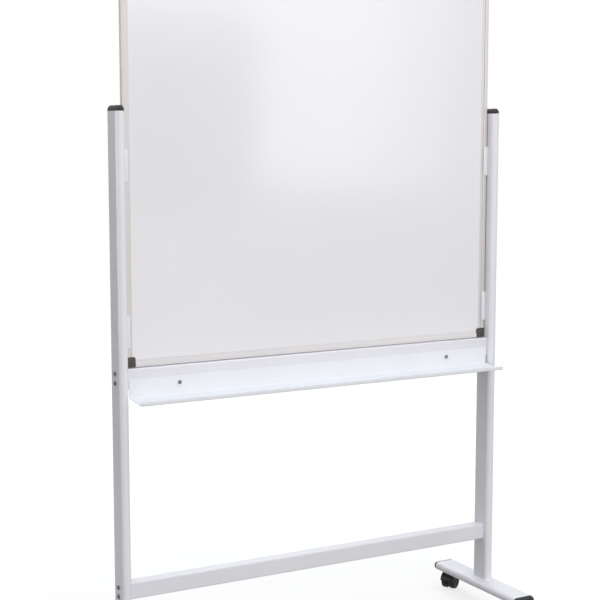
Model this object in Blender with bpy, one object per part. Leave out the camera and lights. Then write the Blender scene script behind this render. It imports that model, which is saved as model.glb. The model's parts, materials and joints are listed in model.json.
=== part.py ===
"""Rolling whiteboard: a framed board between two posts, with a pen tray, two crossbars and four casters.

Metres, +Z up. The origin is on the floor under the middle of the board, and the writing side faces -Y.
"""

from math import cos, pi, radians, sin, tan

import bmesh
import bpy
from mathutils import Matrix, Vector

# Gap between pieces that touch on the real object
FIT = 0.0003

# Board: an aluminium channel frame around a flat panel
BOARD_WIDTH = 1.200
BOARD_HEIGHT = 1.200
RAIL_FACE = 0.020
RAIL_DEPTH = 0.016
RAIL_WALL = 0.0014
RAIL_HOOK = 0.0016
PANEL_RECESS = 0.0035
SHEET_THICK = 0.0006
CORNER_SIZE = 0.028
CORNER_PROUD = 0.0004
CORNER_ROUND = 0.006
TONGUE_LONG = 0.012

# Flat-oval tube of the posts and feet
TUBE_WIDE = 0.075
TUBE_THIN = 0.026
TUBE_WALL = 0.0015
POST_LENGTH = 1.477
FOOT_LENGTH = 0.416
WELD_FILLET = 0.005

# Plastic plugs in the tube ends
CAP_TALL = 0.015
CAP_RIDGE = 0.0027
CAP_PLUG = 0.010
CAP_WALL = 0.0016

# Rectangular crossbars with a solid block welded into each end
LOWER_BAR_TALL = 0.047
UPPER_BAR_TALL = 0.055
BAR_DEEP = 0.039
BAR_WALL = 0.0015
BAR_ROUND = 0.004
BAR_BLOCK = 0.028
LOWER_BAR_RISE = 0.1373
BAR_STEP = 0.5905
BOARD_BAR_GAP = 0.0022

# Dome-head bolts that hold the crossbars
BOLT_RADIUS = 0.004
BOLT_HEAD_RADIUS = 0.0065
BOLT_HEAD_TALL = 0.0036
BOLT_GRIP = 0.022
BOLT_EDGE = 0.0125
BOLT_STEP = 0.026

# U-brackets that hold the sides of the board
BRACKET_TALL = 0.088
BRACKET_SHEET = 0.0022
BRACKET_LAP = 0.0125
BRACKET_ROUND = 0.004
BRACKET_BEND = 0.0018
LOWER_BRACKET_RISE = 0.098
UPPER_BRACKET_DROP = 0.145

# Pen tray: a bent sheet with a lip welded along its front edge, and its screws
TRAY_DEEP = 0.091
TRAY_FLANGE_TALL = 0.0513
TRAY_LAP = 0.0263
TRAY_LIP = 0.0115
TRAY_SHEET = 0.0018
TRAY_SLOPE = radians(5.0)
TRAY_BEND = 0.0012
TRAY_END_GAP = 0.005
TRAY_SCREW_INSET = 0.150
TRAY_SCREW_RISE = 0.0075
TRAY_SCREW_RADIUS = 0.0024
TRAY_SCREW_HEAD_RADIUS = 0.0058
TRAY_SCREW_HEAD_TALL = 0.003
TRAY_SCREW_TIP = 0.006

# Twin-wheel casters
WHEEL_DIAMETER = 0.050
WHEEL_WIDE = 0.018
WHEEL_ROUND = 0.0026
WHEEL_RIM = 0.0045
WHEEL_DISH = 0.002
WHEEL_FACE = 0.003
WHEEL_GAP = 0.0006
AXLE_RADIUS = 0.003
RIB_THICK = 0.0084
HUB_RADIUS = 0.008
HOOD_GAP = 0.0015
HOOD_WALL = 0.0022
HOOD_OVERHANG = 0.0007
HOOD_FROM = radians(12)
HOOD_TO = radians(172)
TRAIL = 0.016
NECK_TALL = 0.0076
NECK_RADIUS = 0.0095
STEM_RADIUS = 0.005
STEM_SEAT = 0.0095
STEM_CHAMFER = 0.001
SWIVEL_GAP = 0.0006
CASTER_TURN = radians(29)

# Caster sockets welded into the undersides of the feet
SOCKET_RADIUS = 0.008
SOCKET_FLANGE_RADIUS = 0.012
SOCKET_FLANGE = 0.0028
SOCKET_SLEEVE = 0.018
SOCKET_ROOF = 0.0015
PLUG_TO_SOCKET = 0.002

# Facets of round shapes
TUBE_STEPS = 8
CAP_STEPS = 6
CAP_RINGS = 4
ROUND_STEPS = 12
WHEEL_STEPS = 24
HOOD_STEPS = 12
CORNER_STEPS = 3
DOME_RINGS = 3

# Reach of a cutter beyond what it cuts
OVERCUT = 0.004

# Heights above the floor
AXLE_Z = WHEEL_DIAMETER / 2
HOOD_INNER = WHEEL_DIAMETER / 2 + HOOD_GAP
HOOD_OUTER = HOOD_INNER + HOOD_WALL
NECK_TOP = AXLE_Z + HOOD_OUTER + NECK_TALL
FOOT_BOTTOM = NECK_TOP + SWIVEL_GAP + SOCKET_FLANGE
FOOT_MIDDLE = FOOT_BOTTOM + TUBE_THIN / 2
FOOT_TOP = FOOT_BOTTOM + TUBE_THIN
POST_BOTTOM = FOOT_TOP + FIT
POST_TOP = POST_BOTTOM + POST_LENGTH
LOWER_BAR_BOTTOM = FOOT_TOP + LOWER_BAR_RISE
UPPER_BAR_BOTTOM = LOWER_BAR_BOTTOM + BAR_STEP
BOARD_BOTTOM = UPPER_BAR_BOTTOM + UPPER_BAR_TALL + BOARD_BAR_GAP
BOARD_TOP = BOARD_BOTTOM + BOARD_HEIGHT

# Places across the width and depth
POST_FACE_X = BOARD_WIDTH / 2 + FIT + BRACKET_SHEET + FIT
POST_X = POST_FACE_X + TUBE_THIN / 2
BAR_END_X = POST_FACE_X - FIT
BAR_FRONT_Y = -BAR_DEEP / 2
TRAY_BACK_Y = BAR_FRONT_Y - FIT
TRAY_HALF = POST_FACE_X - TRAY_END_GAP
CASTER_Y = FOOT_LENGTH / 2 - CAP_PLUG - PLUG_TO_SOCKET - SOCKET_RADIUS

# Depths inside the frame channel, from the board's middle plane
RAIL_HALF = RAIL_DEPTH / 2
LIP_INSIDE = RAIL_HALF - RAIL_WALL
PANEL_HALF = RAIL_HALF - PANEL_RECESS
HOOK_FACE = PANEL_HALF + FIT

SIDES = {"left": -1, "right": 1}
ENDS = {"front": -1, "rear": 1}
BAR_TALLS = {"lower": LOWER_BAR_TALL, "upper": UPPER_BAR_TALL}
BAR_TOPS = {"lower": LOWER_BAR_BOTTOM + LOWER_BAR_TALL, "upper": UPPER_BAR_BOTTOM + UPPER_BAR_TALL}
BOLT_DROPS = {"high": BOLT_EDGE, "low": BOLT_EDGE + BOLT_STEP}
BRACKET_MIDDLES = {"lower": BOARD_BOTTOM + LOWER_BRACKET_RISE, "upper": POST_TOP - UPPER_BRACKET_DROP}


def clear_scene():
    for old in list(bpy.data.objects):
        bpy.data.objects.remove(old)


def finish(name, colour, roughness, metallic=0.0):
    """A Principled material with one colour."""
    material = bpy.data.materials.new(name)
    material.use_nodes = True
    shader = material.node_tree.nodes["Principled BSDF"]
    shader.inputs["Base Color"].default_value = (*colour, 1.0)
    shader.inputs["Roughness"].default_value = roughness
    shader.inputs["Metallic"].default_value = metallic
    return material


def mesh_of(name, bm, material=None, smooth=False):
    """A mesh whose faces are turned outwards."""
    bmesh.ops.recalc_face_normals(bm, faces=bm.faces)
    mesh = bpy.data.meshes.new(name)
    bm.to_mesh(mesh)
    bm.free()
    if smooth:
        mesh.shade_smooth()
        mesh.set_sharp_from_angle(angle=radians(35))
    if material:
        mesh.materials.append(material)
    return mesh


def place(name, mesh, at=(0, 0, 0), turn=(0, 0, 0), parent=None):
    """One object in the scene; copies of a piece share their mesh."""
    placed = bpy.data.objects.new(name, mesh)
    placed.location = at
    placed.rotation_euler = turn
    placed.parent = parent
    bpy.context.scene.collection.objects.link(placed)
    return placed


def combine(target, bm, purpose, operation="DIFFERENCE", parent=None):
    """Cuts the shape out of the target, or joins it on, and hides the shape itself."""
    name = f"{target.name}_{purpose}"
    tool = place(name, mesh_of(name, bm), parent=parent)
    tool.hide_render = True
    tool.display_type = "WIRE"
    modifier = target.modifiers.new(purpose, "BOOLEAN")
    modifier.operation = operation
    modifier.solver = "EXACT"
    modifier.object = tool


def flat_oval(wide, thin, steps):
    """Outline with two straight sides and two round ends, wide along its first axis."""
    straight = (wide - thin) / 2
    points = []
    for centre, start in ((straight, -pi / 2), (-straight, pi / 2)):
        for step in range(steps + 1):
            angle = start + pi * step / steps
            points.append((centre + thin / 2 * cos(angle), thin / 2 * sin(angle)))
    return points


def rounded_box(wide, tall, radius, steps):
    """Outline of a rectangle with round corners."""
    points = []
    for corner, (right, up) in enumerate(((1, 1), (-1, 1), (-1, -1), (1, -1))):
        for step in range(steps + 1):
            angle = pi / 2 * (corner + step / steps)
            across = right * (wide / 2 - radius) + radius * cos(angle)
            height = up * (tall / 2 - radius) + radius * sin(angle)
            points.append((across, height))
    return points


def loft(bm, loops, closed=False):
    """Skin from loop to loop: round again to the first, or capped at both ends."""
    rings = [[bm.verts.new(point) for point in loop] for loop in loops]
    following = rings[1:] + rings[:1] if closed else rings[1:]
    for near, far in zip(rings, following):
        for corners in zip(near, near[1:] + near[:1], far[1:] + far[:1], far):
            bm.faces.new(corners)
    if not closed:
        bm.faces.new(rings[0])
        bm.faces.new(rings[-1])


def prism(bm, points, depth):
    """The flat outline, pulled along depth."""
    face = bm.faces.new([bm.verts.new(point) for point in points])
    pulled = bmesh.ops.extrude_face_region(bm, geom=[face])["geom"]
    moved = [item for item in pulled if isinstance(item, bmesh.types.BMVert)]
    bmesh.ops.translate(bm, verts=moved, vec=depth)


def box(bm, low, high):
    """A block between two opposite corners."""
    low, high = Vector(low), Vector(high)
    size = Matrix.Diagonal((*(high - low), 1))
    bmesh.ops.create_cube(bm, size=1, matrix=Matrix.Translation((low + high) / 2) @ size)


def along(axis, at):
    """Turns heights into distances along an axis through a point."""
    turns = {"Z": Matrix(), "X": Matrix.Rotation(pi / 2, 4, "Y"), "Y": Matrix.Rotation(-pi / 2, 4, "X")}
    return Matrix.Translation(at) @ turns[axis]


def turned(bm, profile, steps, axis="Z", at=(0, 0, 0)):
    """The (radius, height) profile turned about an axis through a point."""
    before = set(bm.verts)
    verts = [bm.verts.new((radius, 0, height)) for radius, height in profile]
    edges = [bm.edges.new(pair) for pair in zip(verts, verts[1:])]
    bmesh.ops.spin(bm, geom=verts + edges, axis=(0, 0, 1), angle=2 * pi, steps=steps, use_merge=True)
    made = [vert for vert in bm.verts if vert not in before]
    bmesh.ops.remove_doubles(bm, verts=made, dist=1e-6)
    made = [vert for vert in bm.verts if vert not in before]
    bmesh.ops.transform(bm, matrix=along(axis, at), verts=made)


def rod(bm, radius, start, end, steps, axis="Z", at=(0, 0, 0)):
    """A plain round bar from start to end along an axis."""
    middle = Matrix.Translation((0, 0, (start + end) / 2))
    bmesh.ops.create_cone(
        bm,
        cap_ends=True,
        segments=steps,
        radius1=radius,
        radius2=radius,
        depth=end - start,
        matrix=along(axis, at) @ middle,
    )


def dome_screw(bm, radius, head_radius, head_tall, long, axis):
    """A dome head above the seat at zero height, and a shank of the given length below it."""
    profile = [(0, head_tall)]
    for step in range(1, DOME_RINGS + 1):
        angle = pi / 2 * (1 - step / DOME_RINGS)
        profile.append((head_radius * cos(angle), head_tall * sin(angle)))
    profile += [(radius, 0), (radius, -long), (0, -long)]
    turned(bm, profile, ROUND_STEPS, axis)


def edges_along(bm, axis, test):
    """Edges that run along an axis and whose middle passes the test."""
    found = []
    for edge in bm.edges:
        start, end = (vert.co for vert in edge.verts)
        if abs((end - start)[axis]) > 0.999 * edge.calc_length() and test((start + end) / 2):
            found.append(edge)
    return found


def round_edges(bm, edges, radius):
    bmesh.ops.bevel(
        bm, geom=edges, offset=radius, segments=CORNER_STEPS, profile=0.5, affect="EDGES", material=-1
    )


def post(name, side, material):
    """Upright tube, wide along the depth, with a weld fillet at its base and holes for the bolts."""
    sizes = []
    for step in range(CORNER_STEPS + 1):
        angle = pi / 2 * step / CORNER_STEPS
        sizes.append((2 * WELD_FILLET * (1 - sin(angle)), WELD_FILLET * (1 - cos(angle))))
    sizes += [(0, POST_LENGTH), (-2 * TUBE_WALL, POST_LENGTH), (-2 * TUBE_WALL, 0)]
    loops = []
    for more, height in sizes:
        outline = flat_oval(TUBE_WIDE + more, TUBE_THIN + more, TUBE_STEPS)
        loops.append([(across, depth, height) for depth, across in outline])
    bm = bmesh.new()
    loft(bm, loops, closed=True)
    upright = place(name, mesh_of(name, bm, material, smooth=True), (side * POST_X, 0, POST_BOTTOM))
    holes = bmesh.new()
    reach = TUBE_THIN / 2 + OVERCUT
    for top in BAR_TOPS.values():
        for drop in BOLT_DROPS.values():
            middle = (side * POST_X, 0, top - drop)
            rod(holes, BOLT_RADIUS + FIT, -reach, reach, ROUND_STEPS, "X", middle)
    combine(upright, holes, "bolt_holes")


def foot(name, side, material):
    """The same tube laid flat along the depth, with a caster socket welded in near each end."""
    half = FOOT_LENGTH / 2
    loops = []
    for less, depth in ((0, -half), (0, half), (2 * TUBE_WALL, half), (2 * TUBE_WALL, -half)):
        outline = flat_oval(TUBE_WIDE - less, TUBE_THIN - less, TUBE_STEPS)
        loops.append([(across, depth, height) for across, height in outline])
    bm = bmesh.new()
    loft(bm, loops, closed=True)
    tube = place(name, mesh_of(name, bm, material, smooth=True), (side * POST_X, 0, FOOT_MIDDLE))
    weld = TUBE_WALL / 2
    socket = [
        (0, SOCKET_SLEEVE),
        (SOCKET_RADIUS, SOCKET_SLEEVE),
        (SOCKET_RADIUS, weld),
        (SOCKET_FLANGE_RADIUS, weld),
        (SOCKET_FLANGE_RADIUS, -SOCKET_FLANGE),
        (0, -SOCKET_FLANGE),
    ]
    sockets = bmesh.new()
    bores = bmesh.new()
    for end in ENDS.values():
        at = (side * POST_X, end * CASTER_Y, FOOT_BOTTOM)
        turned(sockets, socket, ROUND_STEPS, "Z", at)
        start, stop = -SOCKET_FLANGE - OVERCUT, SOCKET_SLEEVE - SOCKET_ROOF
        rod(bores, STEM_RADIUS + FIT, start, stop, ROUND_STEPS, "Z", at)
    combine(tube, sockets, "sockets", "UNION")
    combine(tube, bores, "socket_bores")


def cap_mesh(material):
    """Domed plug for a tube end: a dome on top and a hollow plug that hangs below zero height."""
    inset = TUBE_THIN / 2 - CAP_RIDGE
    sizes = []
    for step in range(CAP_RINGS + 1):
        angle = pi / 2 * (1 - step / CAP_RINGS)
        sizes.append((2 * inset * (1 - cos(angle)), FIT + CAP_TALL * sin(angle)))
    skirt = 2 * (TUBE_WALL + FIT)
    hollow = skirt + 2 * CAP_WALL
    sizes += [(skirt, FIT), (skirt, -CAP_PLUG), (hollow, -CAP_PLUG), (hollow, FIT + CAP_WALL)]
    loops = []
    for less, height in sizes:
        outline = flat_oval(TUBE_WIDE - less, TUBE_THIN - less, CAP_STEPS)
        loops.append([(across, depth, height) for across, depth in outline])
    bm = bmesh.new()
    loft(bm, loops)
    return mesh_of("tube_cap", bm, material, smooth=True)


def caps(material):
    """One plug on each post and one at each end of each foot."""
    cap = cap_mesh(material)
    for side_name, side in SIDES.items():
        place(f"{side_name}_post_cap", cap, (side * POST_X, 0, POST_TOP), (0, 0, pi / 2))
        for end_name, end in ENDS.items():
            at = (side * POST_X, end * FOOT_LENGTH / 2, FOOT_MIDDLE)
            place(f"{side_name}_{end_name}_foot_cap", cap, at, (-end * pi / 2, 0, 0))


def tray_screw_places():
    """Where the two tray screws are across the width, and their height."""
    reach = TRAY_HALF - TRAY_SCREW_INSET
    return {name: (side * reach, UPPER_BAR_BOTTOM + TRAY_SCREW_RISE) for name, side in SIDES.items()}


def tray_screw_holes():
    """Holes through the tray's flange and the front wall of the upper crossbar."""
    holes = bmesh.new()
    start = TRAY_BACK_Y - TRAY_SHEET - OVERCUT
    end = BAR_FRONT_Y + BAR_WALL + OVERCUT
    for across, height in tray_screw_places().values():
        rod(holes, TRAY_SCREW_RADIUS + FIT, start, end, ROUND_STEPS, "Y", (across, 0, height))
    return holes


def crossbar(name, tall, top, material):
    """Rectangular tube between the posts, hollow between its end blocks, with bolt holes in the blocks."""
    middle = top - tall / 2
    bm = bmesh.new()
    section = rounded_box(BAR_DEEP, tall, BAR_ROUND, CORNER_STEPS)
    prism(bm, [(-BAR_END_X, depth, middle + height) for depth, height in section], (2 * BAR_END_X, 0, 0))
    bar = place(name, mesh_of(name, bm, material, smooth=True))
    hollow = bmesh.new()
    reach = BAR_END_X - BAR_BLOCK
    less = 2 * BAR_WALL
    section = rounded_box(BAR_DEEP - less, tall - less, BAR_ROUND - BAR_WALL, CORNER_STEPS)
    prism(hollow, [(-reach, depth, middle + height) for depth, height in section], (2 * reach, 0, 0))
    combine(bar, hollow, "hollow")
    holes = bmesh.new()
    for side in SIDES.values():
        start, end = sorted((side * (reach - OVERCUT), side * (BAR_END_X + OVERCUT)))
        for drop in BOLT_DROPS.values():
            rod(holes, BOLT_RADIUS + FIT, start, end, ROUND_STEPS, "X", (0, 0, top - drop))
    combine(bar, holes, "bolt_holes")
    return bar


def bolts(material):
    """Dome-head bolts from outside the posts into the crossbars' end blocks, two at each bar end."""
    bm = bmesh.new()
    long = FIT + TUBE_THIN + FIT + BOLT_GRIP
    dome_screw(bm, BOLT_RADIUS, BOLT_HEAD_RADIUS, BOLT_HEAD_TALL, long, "X")
    bolt = mesh_of("frame_bolt", bm, material, smooth=True)
    seat = POST_X + TUBE_THIN / 2 + FIT
    for side_name, side in SIDES.items():
        turn = (0, 0, 0) if side > 0 else (0, 0, pi)
        for level, top in BAR_TOPS.items():
            for row, drop in BOLT_DROPS.items():
                place(f"{side_name}_{level}_bar_{row}_bolt", bolt, (side * seat, 0, top - drop), turn)


def shelf_bottom(depth):
    """Height of the tray shelf's underside at a depth: it slopes down to the front."""
    low_back = UPPER_BAR_BOTTOM + TRAY_LAP - TRAY_FLANGE_TALL
    return low_back - (TRAY_BACK_Y - depth) * tan(TRAY_SLOPE)


def pen_tray(name, material):
    """One bent sheet: back flange on the upper crossbar and sloping shelf."""
    top = UPPER_BAR_BOTTOM + TRAY_LAP
    shelf = TRAY_SHEET / cos(TRAY_SLOPE)
    front = TRAY_BACK_Y - TRAY_DEEP + TRAY_SHEET + FIT
    flange_front = TRAY_BACK_Y - TRAY_SHEET
    bends = [(TRAY_BACK_Y, shelf_bottom(TRAY_BACK_Y)), (flange_front, shelf_bottom(flange_front) + shelf)]
    edge = [(front, shelf_bottom(front)), (front, shelf_bottom(front) + shelf)]
    profile = [(TRAY_BACK_Y, top), bends[0], *edge, bends[1], (flange_front, top)]
    bm = bmesh.new()
    prism(bm, [(-TRAY_HALF, depth, height) for depth, height in profile], (2 * TRAY_HALF, 0, 0))
    corners = [Vector((0, depth, height)) for depth, height in bends]
    folds = edges_along(bm, 0, lambda middle: any((middle - corner).length < FIT for corner in corners))
    round_edges(bm, folds, TRAY_BEND)
    tray = place(name, mesh_of(name, bm, material))
    combine(tray, tray_screw_holes(), "screw_holes")


def tray_lip(name, material):
    """Strip along the shelf's front edge that keeps the pens in."""
    front = TRAY_BACK_Y - TRAY_DEEP
    low = shelf_bottom(front)
    bm = bmesh.new()
    box(bm, (-TRAY_HALF, front, low), (TRAY_HALF, front + TRAY_SHEET, low + TRAY_LIP))
    fold = edges_along(bm, 0, lambda middle: middle.y < front + FIT and middle.z < low + FIT)
    round_edges(bm, fold, TRAY_BEND)
    place(name, mesh_of(name, bm, material))


def tray_screws(material):
    """Dome-head screws from the front through the flange into the upper crossbar."""
    bm = bmesh.new()
    long = FIT + TRAY_SHEET + FIT + BAR_WALL + TRAY_SCREW_TIP
    dome_screw(bm, TRAY_SCREW_RADIUS, TRAY_SCREW_HEAD_RADIUS, TRAY_SCREW_HEAD_TALL, long, "Y")
    screw = mesh_of("tray_screw", bm, material, smooth=True)
    seat = TRAY_BACK_Y - TRAY_SHEET - FIT
    for side_name, (across, height) in tray_screw_places().items():
        place(f"{side_name}_tray_screw", screw, (across, seat, height), (0, 0, pi))


def bracket(name, side, middle, material):
    """Sheet bent into a U round the board's side frame, with its web against the post."""
    lip = BOARD_WIDTH / 2 - BRACKET_LAP
    web_in = BOARD_WIDTH / 2 + FIT
    web_out = web_in + BRACKET_SHEET
    flange_in = RAIL_HALF + FIT
    flange_out = flange_in + BRACKET_SHEET
    front = [(web_out, -flange_out), (lip, -flange_out), (lip, -flange_in), (web_in, -flange_in)]
    outline = front + [(across, -depth) for across, depth in reversed(front)]
    low = middle - BRACKET_TALL / 2
    bm = bmesh.new()
    prism(bm, [(side * across, depth, low) for across, depth in outline], (0, 0, BRACKET_TALL))
    corners = edges_along(bm, 1, lambda point: abs(abs(point.x) - lip) < FIT)
    round_edges(bm, corners, BRACKET_ROUND)
    bends = edges_along(bm, 2, lambda point: abs(abs(point.x) - web_out) < FIT)
    round_edges(bm, bends, BRACKET_BEND)
    place(name, mesh_of(name, bm, material))


def rail_section():
    """Channel seen along its length: how far in from the board's edge, and depth."""
    hook_start = RAIL_FACE - RAIL_HOOK
    front = [
        (0, -RAIL_HALF),
        (RAIL_FACE, -RAIL_HALF),
        (RAIL_FACE, -HOOK_FACE),
        (hook_start, -HOOK_FACE),
        (hook_start, -LIP_INSIDE),
        (RAIL_WALL, -LIP_INSIDE),
    ]
    return front + [(inward, -depth) for inward, depth in reversed(front)]


def flat_rail(name, edge, inward, material):
    """Top or bottom rail, between two corner pieces."""
    half = BOARD_WIDTH / 2 - CORNER_SIZE - FIT
    bm = bmesh.new()
    prism(bm, [(-half, depth, edge + inward * across) for across, depth in rail_section()], (2 * half, 0, 0))
    place(name, mesh_of(name, bm, material))


def side_rail(name, side, material):
    """Left or right rail, between two corner pieces."""
    low = BOARD_BOTTOM + CORNER_SIZE + FIT
    long = BOARD_HEIGHT - 2 * (CORNER_SIZE + FIT)
    edge = BOARD_WIDTH / 2
    bm = bmesh.new()
    prism(bm, [(side * (edge - across), depth, low) for across, depth in rail_section()], (0, 0, long))
    place(name, mesh_of(name, bm, material))


def corner_piece(name, side, up, material):
    """Moulded corner: two plates and an outer wall round the panel, with tongues into both rails."""
    face = RAIL_HALF + CORNER_PROUD
    into_board = Matrix.Diagonal((-side, 1, -up, 1))
    at_corner = Matrix.Translation((side * BOARD_WIDTH / 2, 0, BOARD_TOP if up > 0 else BOARD_BOTTOM))
    bm = bmesh.new()
    box(bm, (0, -face, 0), (CORNER_SIZE, face, CORNER_SIZE))
    inner = edges_along(bm, 1, lambda point: min(point.x, point.z) > CORNER_SIZE - FIT)
    round_edges(bm, inner, CORNER_ROUND)
    slot = bmesh.new()
    far = CORNER_SIZE + OVERCUT
    box(slot, (RAIL_WALL, -HOOK_FACE, RAIL_WALL), (far, HOOK_FACE, far))
    tongues = bmesh.new()
    near, reach = CORNER_SIZE - CORNER_ROUND - OVERCUT, CORNER_SIZE + TONGUE_LONG
    low, high = RAIL_WALL + FIT, RAIL_FACE - RAIL_HOOK - FIT
    for way in (-1, 1):
        deep, shallow = sorted((way * (LIP_INSIDE - FIT), way * (HOOK_FACE + FIT)))
        box(tongues, (near, deep, low), (reach, shallow, high))
        box(tongues, (low, deep, near), (high, shallow, reach))
    for shape in (bm, slot, tongues):
        bmesh.ops.transform(shape, matrix=at_corner @ into_board, verts=shape.verts)
    piece = place(name, mesh_of(name, bm, material))
    combine(piece, slot, "panel_slot")
    combine(piece, tongues, "tongues", "UNION")


def panel_layer(name, front, rear, material):
    """One flat layer of the panel, between two depths."""
    inset = RAIL_WALL + FIT
    half = BOARD_WIDTH / 2 - inset
    bm = bmesh.new()
    box(bm, (-half, front, BOARD_BOTTOM + inset), (half, rear, BOARD_TOP - inset))
    place(name, mesh_of(name, bm, material))


def caster_stem(name, swivel, material):
    """Steel pin from the hood's neck up into the socket."""
    low = NECK_TOP - STEM_SEAT + FIT
    high = FOOT_BOTTOM + SOCKET_SLEEVE - SOCKET_ROOF - FIT
    slim = STEM_RADIUS - STEM_CHAMFER
    profile = [(0, high), (slim, high), (STEM_RADIUS, high - STEM_CHAMFER), (STEM_RADIUS, low), (0, low)]
    bm = bmesh.new()
    turned(bm, profile, ROUND_STEPS)
    place(name, mesh_of(name, bm, material, smooth=True), parent=swivel)


def caster_hood(name, swivel, material):
    """Fork rib and fender: a wedge of a drum with a neck and a hub, hollowed by the two wheel wells."""
    half = RIB_THICK / 2 + WHEEL_GAP + WHEEL_WIDE + HOOD_OVERHANG
    axle = (TRAIL, 0, AXLE_Z)
    wedge = [(TRAIL, AXLE_Z)]
    for step in range(HOOD_STEPS + 1):
        angle = HOOD_FROM + (HOOD_TO - HOOD_FROM) * step / HOOD_STEPS
        wedge.append((TRAIL + HOOD_OUTER * cos(angle), AXLE_Z + HOOD_OUTER * sin(angle)))
    bm = bmesh.new()
    prism(bm, [(forward, -half, height) for forward, height in wedge], (0, 2 * half, 0))
    hood = place(name, mesh_of(name, bm, material, smooth=True), parent=swivel)
    neck = bmesh.new()
    rod(neck, NECK_RADIUS, AXLE_Z + HUB_RADIUS, NECK_TOP, ROUND_STEPS)
    combine(hood, neck, "neck", "UNION", swivel)
    hub = bmesh.new()
    rod(hub, HUB_RADIUS, -half + OVERCUT, half - OVERCUT, ROUND_STEPS, "Y", axle)
    combine(hood, hub, "hub", "UNION", swivel)
    wells = bmesh.new()
    for way in (-1, 1):
        start, stop = sorted((way * RIB_THICK / 2, way * (half + OVERCUT)))
        rod(wells, HOOD_INNER, start, stop, WHEEL_STEPS, "Y", axle)
    combine(hood, wells, "wheel_wells", parent=swivel)
    holes = bmesh.new()
    rod(holes, AXLE_RADIUS + FIT, -half, half, ROUND_STEPS, "Y", axle)
    rod(holes, STEM_RADIUS + FIT, NECK_TOP - STEM_SEAT, NECK_TOP + OVERCUT, ROUND_STEPS)
    combine(hood, holes, "pin_holes", parent=swivel)


def caster_axle(name, swivel, material):
    half = RIB_THICK / 2 + WHEEL_GAP + WHEEL_WIDE - WHEEL_DISH - WHEEL_FACE - FIT
    bm = bmesh.new()
    rod(bm, AXLE_RADIUS, -half, half, ROUND_STEPS, "Y")
    place(name, mesh_of(name, bm, material, smooth=True), (TRAIL, 0, AXLE_Z), parent=swivel)


def wheel_mesh(material):
    """Wheel with a dished outer face and a blind bore, on the axle's +Y side of the rib."""
    radius = WHEEL_DIAMETER / 2
    inside = RIB_THICK / 2 + WHEEL_GAP
    outside = inside + WHEEL_WIDE
    dish = outside - WHEEL_DISH
    bore = AXLE_RADIUS + FIT
    rim = radius - WHEEL_ROUND
    rim_inside = rim - WHEEL_RIM
    profile = [
        (0, dish),
        (rim_inside - WHEEL_DISH, dish),
        (rim_inside, outside),
        (rim, outside),
        (radius, outside - WHEEL_ROUND),
        (radius, inside + WHEEL_ROUND),
        (rim, inside),
        (bore, inside),
        (bore, dish - WHEEL_FACE),
        (0, dish - WHEEL_FACE),
    ]
    bm = bmesh.new()
    turned(bm, profile, WHEEL_STEPS, "Y")
    return mesh_of("caster_wheel", bm, material, smooth=True)


def casters(plastic, steel):
    """Four swivelling casters, each trailing outwards from the middle of the stand."""
    wheel = wheel_mesh(plastic)
    for end_name, end in ENDS.items():
        for side_name, side in SIDES.items():
            name = f"{end_name}_{side_name}_caster"
            trailing = CASTER_TURN if side > 0 else pi - CASTER_TURN
            at = (side * POST_X, end * CASTER_Y, 0)
            swivel = place(f"{name}_swivel", None, at, (0, 0, end * trailing))
            caster_stem(f"{name}_stem", swivel, steel)
            caster_hood(f"{name}_hood", swivel, plastic)
            caster_axle(f"{name}_axle", swivel, steel)
            place(f"{name}_left_wheel", wheel, (TRAIL, 0, AXLE_Z), parent=swivel)
            place(f"{name}_right_wheel", wheel, (TRAIL, 0, AXLE_Z), (0, 0, pi), swivel)


def stand(coat, zinc):
    """Posts, feet and bolted crossbars."""
    for side_name, side in SIDES.items():
        post(f"{side_name}_post", side, coat)
        foot(f"{side_name}_foot", side, coat)
    bars = {}
    for level, tall in BAR_TALLS.items():
        bars[level] = crossbar(f"{level}_crossbar", tall, BAR_TOPS[level], coat)
    combine(bars["upper"], tray_screw_holes(), "screw_holes")
    bolts(zinc)


def frame_and_panel(rail, corner):
    """The board: four rails, four corner pieces and the three layers of the panel."""
    flat_rail("bottom_rail", BOARD_BOTTOM, 1, rail)
    flat_rail("top_rail", BOARD_TOP, -1, rail)
    for side_name, side in SIDES.items():
        side_rail(f"{side_name}_rail", side, rail)
        corner_piece(f"top_{side_name}_corner", side, 1, corner)
        corner_piece(f"bottom_{side_name}_corner", side, -1, corner)
    sheet_inside = PANEL_HALF - SHEET_THICK
    core_half = sheet_inside - FIT
    panel_layer("front_sheet", -PANEL_HALF, -sheet_inside, finish("white_enamel", (0.76, 0.75, 0.79), 0.15))
    panel_layer("board_core", -core_half, core_half, finish("honeycomb_core", (0.45, 0.36, 0.25), 0.9))
    backing = finish("grey_backing", (0.62, 0.63, 0.65), 0.45, 0.6)
    panel_layer("rear_sheet", sheet_inside, PANEL_HALF, backing)


def brackets(coat):
    for side_name, side in SIDES.items():
        for level, middle in BRACKET_MIDDLES.items():
            bracket(f"{level}_{side_name}_bracket", side, middle, coat)


def main():
    clear_scene()
    coat = finish("white_powder_coat", (0.72, 0.72, 0.76), 0.4)
    zinc = finish("black_zinc_steel", (0.20, 0.20, 0.21), 0.25, 1.0)
    stand(coat, zinc)
    caps(finish("charcoal_cap_plastic", (0.03, 0.028, 0.03), 0.5))
    rail = finish("satin_aluminium", (0.70, 0.67, 0.66), 0.35, 1.0)
    frame_and_panel(rail, finish("grey_corner_plastic", (0.085, 0.075, 0.07), 0.5))
    brackets(coat)
    tray_coat = finish("white_tray_coat", (0.80, 0.82, 0.87), 0.4)
    pen_tray("pen_tray", tray_coat)
    tray_lip("pen_tray_lip", tray_coat)
    tray_screws(zinc)
    casters(finish("black_nylon", (0.014, 0.013, 0.012), 0.45), zinc)


main()
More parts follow.
